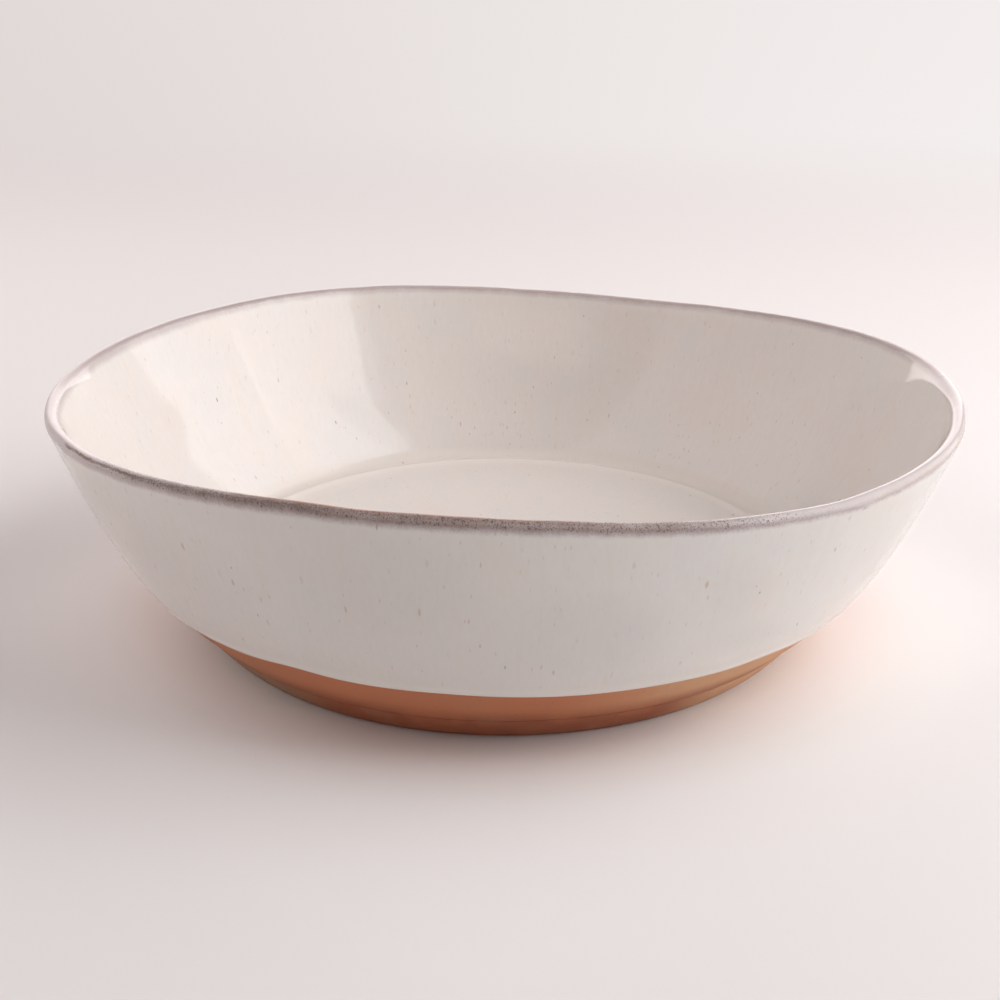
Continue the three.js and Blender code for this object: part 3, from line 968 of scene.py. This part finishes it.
def clay_finish(tree, shader, place, colour, sand, pits):
    tree.links.new(colour, shader.inputs["Base Color"])
    tree.links.new(step(tree, sand, 0.3, 0.7, *CLAY_ROUGHNESS), shader.inputs["Roughness"])
    turning = noise(tree, scaled(tree, place, TURNING_SHARE, TURNING_SHARE, 1), TURNING_SIZE, 2)
    grain = calc(tree, "MULTIPLY", sand, SAND_SHARE)
    height = calc(tree, "ADD", calc(tree, "MULTIPLY", turning, TURNING_RELIEF_SHARE), grain)
    height = calc(tree, "SUBTRACT", height, calc(tree, "MULTIPLY", pits, PIT_SHARE))
    bump = add_node(tree, "Bump", {"Height": height, "Strength": 1.0, "Distance": CLAY_RELIEF * MM})
    tree.links.new(bump.outputs[0], shader.inputs["Normal"])


# Lays colours over arcs round the bowl: painted light and shade on the clay's sides, and tones
def arc_toned(tree, ground, around, colour_arcs):
    for tone, spread, strength in colour_arcs:
        ground = over(tree, ground, tone, times(tree, arc(tree, around, *spread), strength))
    return ground


def height_of(tree, place):
    """Height over the table in millimetres."""
    return calc(tree, "DIVIDE", add_node(tree, "SeparateXYZ", {0: place}).outputs[2], MM)


def unrolled_angle(tree, place):
    """A direction round the bowl on the rim's circle, from a plain place, so that arc can read it."""
    flat = scaled(tree, place, 1, 1, 0)
    unit = add_node(tree, "VectorMath", {0: flat}, operation="NORMALIZE").outputs["Vector"]
    values = {0: unit, "Scale": RIM_RADIUS * MM}
    return add_node(tree, "VectorMath", values, operation="SCALE").outputs["Vector"]


def wall_clay_material():
    """Bare clay of the wall: painted light in straw on the right, painted shade in a little olive on the
    left, red towards the foot.
    """
    material, tree, shader = new_material("red_clay_wall", CLAY_MEAN_ROUGHNESS)
    place = add_node(tree, "TexCoord").outputs["Object"]
    unrolled = add_node(tree, "Attribute", attribute_name="place").outputs["Vector"]
    fall = calc(tree, "ADD", add_node(tree, "SeparateXYZ", {0: unrolled}).outputs[2], MM * CREST)
    ground = arc_toned(tree, CLAY, unrolled, WALL_SIDE_LIGHT_AND_SHADE)
    red = step(tree, height_of(tree, place), FOOT_TOP[1] + RED_START, FOOT_TOP[1] + RED_END, high=0.9)
    colour, sand, pits = clay_grain(tree, place, over(tree, ground, CLAY_RED, red))
    # A dark line under the glaze's edge: darker clay there, and painted shade under the glaze's roll
    clay_edge_shade = step(tree, fall, MM * GLAZE_EDGE_SHADE_FALLS[0], MM * GLAZE_EDGE_SHADE_FALLS[1], high=0.45)
    clay_finish(tree, shader, place, over(tree, colour, CLAY_DARK, clay_edge_shade), sand, pits)
    return material


def foot_clay_material():
    """The same clay, handled: deep red, painted shade in olive on the left, painted light in straw on the
    right, tan at the back.
    """
    material, tree, shader = new_material("red_clay_foot", CLAY_MEAN_ROUGHNESS)
    place = add_node(tree, "TexCoord").outputs["Object"]
    ground = arc_toned(tree, CLAY_RED, unrolled_angle(tree, place), FOOT_SIDE_LIGHT_AND_TONE)
    worn = over(tree, ground, CLAY_TAN, step(tree, height_of(tree, place), *WORN_HEIGHTS, high=0.6))
    colour, sand, pits = clay_grain(tree, place, worn)
    clay_finish(tree, shader, place, colour, sand, pits)
    return material


# Studio, in metres
ROOM_TINT = (1, 0.906, 0.9)
ROOM_LEVEL = 0.01
FLOOR_COLOUR = (0.885, 0.877, 0.867)
# Background colour, darker on the left as painted shade away from the window
PAPER_LEFT = (0.737, 0.675, 0.66)
PAPER_RIGHT = (0.91, 0.875, 0.865)
PAPER_TURN = 0.6
FLOOR_ROUGHNESS = 0.9
FLOOR_REACH = 6.0
FLOOR_FADE_START = 0.55
FLOOR_FADE_END = 1.5
WINDOW_X = 0.85
WINDOW_LOW = 0.12
WINDOW_HIGH = 1.25
WINDOW_SLANT = 0.5
WINDOW_TINT = (0.96, 0.98, 0.99)
FILL_TINT = (1, 0.875, 0.843)

# Panes of the window: name, start and end along Y, radiance, and whether it lights the bowl. One that
# doesn't is only seen in its gloss
WINDOW_PANES = [
    ("window_front", -0.96, -0.2, 2.38, True),
    ("window_bar", -0.2, -0.06, 1.6, True),
    ("window_back", -0.06, 0.5, 1.5, False),
]

# Other lamps: name, corner, the two sides that span it, tint, radiance, and whether the gloss shows it
SOFT_BOXES = [
    ("wall_left", (-0.95, -1.5, 0.12), (0, 2.5, 0), (0, 0, 1.08), ROOM_TINT, 0.13, True),
    ("skirt_left", (-0.95, -1.0, 0.0), (0, 1.9, 0), (0, 0, 0.12), ROOM_TINT, 1.9, False),
    ("roof_left", (-1.75, -0.8, 0.65), (0, 2, 0), (0.9, 0, 0.9), ROOM_TINT, 1.69, False),
    ("roof_right", (0.85, -0.8, 1.55), (0, 2, 0), (0.9, 0, -0.9), ROOM_TINT, 2.55, False),
    ("fill", (-1.2, -1.25, 0.95), (2.4, 0, 0), (0, -0.7, 0.7), FILL_TINT, 4.9, False),
    ("sweep", (-1.5, 2.2, 0.1), (3, 0, 0), (0, 0, 1.3), ROOM_TINT, 1.98, True),
]

# Unlit side of the room: where it stands, and each panel's left, right, bottom and top
DARK_Y = -1.4
DARK_PANELS = [(-1.3, 1.25, 0.0, 3.6), (1.25, 2.7, 0.9, 3.6)]
DARK_COLOUR = (0.05, 0.045, 0.045)

# Camera
CAMERA_PLACE = (-0.00127, -0.5265, 0.246)
CAMERA_PITCH = 21.549
CAMERA_ROLL = 0.206
CAMERA_LENS = 35
CAMERA_SENSOR = 24
CAMERA_CLIP = 0.01


def soft_box(name, corner, across, up, colour, radiance, reflected=True, lights=True):
    """An even lamp over the parallelogram that across and up span from a corner, shining at the bowl."""
    corner, across, up = Vector(corner), Vector(across), Vector(up)
    centre = corner + across / 2 + up / 2
    back = across.cross(up).normalized()
    if back.dot(centre) < 0:
        back, across = -back, -across
    data = bpy.data.lights.new(name, "AREA")
    data.shape = "RECTANGLE"
    data.size = data.size_y = 1
    data.color = colour
    data.energy = radiance * math.pi * across.cross(up).length
    lamp = bpy.data.objects.new(name, data)
    lamp.matrix_world = Matrix.Translation(centre) @ Matrix((across, up, back)).transposed().to_4x4()
    lamp.visible_camera = False
    lamp.visible_glossy = reflected
    lamp.visible_diffuse = lights
    bpy.context.scene.collection.objects.link(lamp)


def make_lamps():
    rise = WINDOW_HIGH - WINDOW_LOW
    slanted = (0, WINDOW_SLANT * rise, rise)
    for name, start, end, radiance, lights in WINDOW_PANES:
        corner = (WINDOW_X, start, WINDOW_LOW)
        soft_box(name, corner, (0, end - start, 0), slanted, WINDOW_TINT, radiance, lights=lights)
    for name, corner, across, up, tint, radiance, reflected in SOFT_BOXES:
        soft_box(name, corner, across, up, tint, radiance, reflected=reflected)


def make_camera():
    data = bpy.data.cameras.new("photo_view")
    data.sensor_width = CAMERA_SENSOR
    data.lens = CAMERA_LENS
    data.clip_start = CAMERA_CLIP
    camera = bpy.data.objects.new("photo_view", data)
    tilt = Matrix.Rotation(math.radians(90 - CAMERA_PITCH), 4, "X")
    roll = Matrix.Rotation(math.radians(CAMERA_ROLL), 4, "Z")
    camera.matrix_world = Matrix.Translation(CAMERA_PLACE) @ tilt @ roll
    bpy.context.scene.collection.objects.link(camera)
    bpy.context.scene.camera = camera


def background_share(tree):
    """1 for the rays that look at the background, from the eye or by way of gloss or glass."""
    path = add_node(tree, "LightPath").outputs
    seen = calc(tree, "MAXIMUM", path["Is Camera Ray"], path["Is Glossy Ray"])
    return calc(tree, "MAXIMUM", seen, path["Is Transmission Ray"])


def paper_colour(tree, direction):
    """The background's colour, with painted shade: darker on the left, away from the window."""
    side = add_node(tree, "SeparateXYZ", {0: direction}).outputs[0]
    return over(tree, PAPER_LEFT, PAPER_RIGHT, step(tree, side, -PAPER_TURN, PAPER_TURN))


def make_floor():
    data = bpy.data.meshes.new("floor")
    corners = [(x * FLOOR_REACH, y * FLOOR_REACH, 0) for x, y in ((-1, -1), (1, -1), (1, 1), (-1, 1))]
    data.from_pydata(corners, [], [(0, 1, 2, 3)])
    floor = bpy.data.objects.new("floor", data)
    bpy.context.scene.collection.objects.link(floor)
    material, tree, shader = new_material("floor_paper", FLOOR_ROUGHNESS)
    shader.inputs["Base Color"].default_value = (*FLOOR_COLOUR, 1)
    shader.inputs["Specular IOR Level"].default_value = 0
    place = add_node(tree, "TexCoord").outputs["Object"]
    away = add_node(tree, "VectorMath", {0: place}, operation="LENGTH").outputs["Value"]
    towards = add_node(tree, "VectorMath", {0: place}, operation="NORMALIZE").outputs["Vector"]
    glow = add_node(tree, "Emission", {"Color": paper_colour(tree, towards), "Strength": 1.0})
    far = times(tree, step(tree, away, FLOOR_FADE_START, FLOOR_FADE_END), background_share(tree))
    mix = add_node(tree, "MixShader", {0: far, 1: shader.outputs[0], 2: glow.outputs[0]})
    tree.links.new(mix.outputs[0], tree.nodes["Material Output"].inputs["Surface"])
    data.materials.append(material)


def make_world():
    world = bpy.data.worlds.new("studio")
    bpy.context.scene.world = world
    world.use_nodes = True
    tree = world.node_tree
    room = tree.nodes["Background"]
    room.inputs["Color"].default_value = (*ROOM_TINT, 1)
    room.inputs["Strength"].default_value = ROOM_LEVEL
    direction = add_node(tree, "TexCoord").outputs["Generated"]
    paper = add_node(tree, "Background", {"Color": paper_colour(tree, direction), "Strength": 1.0})
    mix = add_node(tree, "MixShader", {0: background_share(tree), 1: room.outputs[0], 2: paper.outputs[0]})
    tree.links.new(mix.outputs[0], tree.nodes["World Output"].inputs["Surface"])


def make_dark_side():
    """The unlit side of the room behind the camera, which only the glaze's reflections show."""
    data = bpy.data.meshes.new("dark_side")
    points = []
    faces = []
    for left, right, bottom, top in DARK_PANELS:
        start = len(points)
        points += [(left, DARK_Y, bottom), (right, DARK_Y, bottom), (right, DARK_Y, top), (left, DARK_Y, top)]
        faces.append((start, start + 1, start + 2, start + 3))
    data.from_pydata(points, [], faces)
    flag = bpy.data.objects.new("dark_side", data)
    bpy.context.scene.collection.objects.link(flag)
    material, tree, shader = new_material("unlit_room_shade", 1.0)
    shader.inputs["Base Color"].default_value = (*DARK_COLOUR, 1)
    data.materials.append(material)
    flag.visible_camera = False
    flag.visible_diffuse = False
    flag.visible_transmission = False
    flag.visible_shadow = False


cream_glaze = glaze_material("cream_glaze_finish")
brown_glaze = glaze_material("brown_glaze_finish")
outside_coat, rim_coat, inside_coat = make_coats()
for piece, node, slot, material in (
    (outside_coat, "outside_glaze", "cream_glaze", cream_glaze),
    (rim_coat, "rim_glaze", "brown_glaze", brown_glaze),
    (inside_coat, "inside_glaze", "cream_glaze", cream_glaze),
    (make_clay(), "clay_body", "red_clay", wall_clay_material()),
    (make_foot(), "foot_ring", "red_clay", foot_clay_material()),
):
    piece.data.materials.append(material)
    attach(piece, "root")
    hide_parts(node)

make_floor()
make_dark_side()
make_world()
make_lamps()
make_camera()

bpy.context.scene.view_settings.view_transform = "Standard"
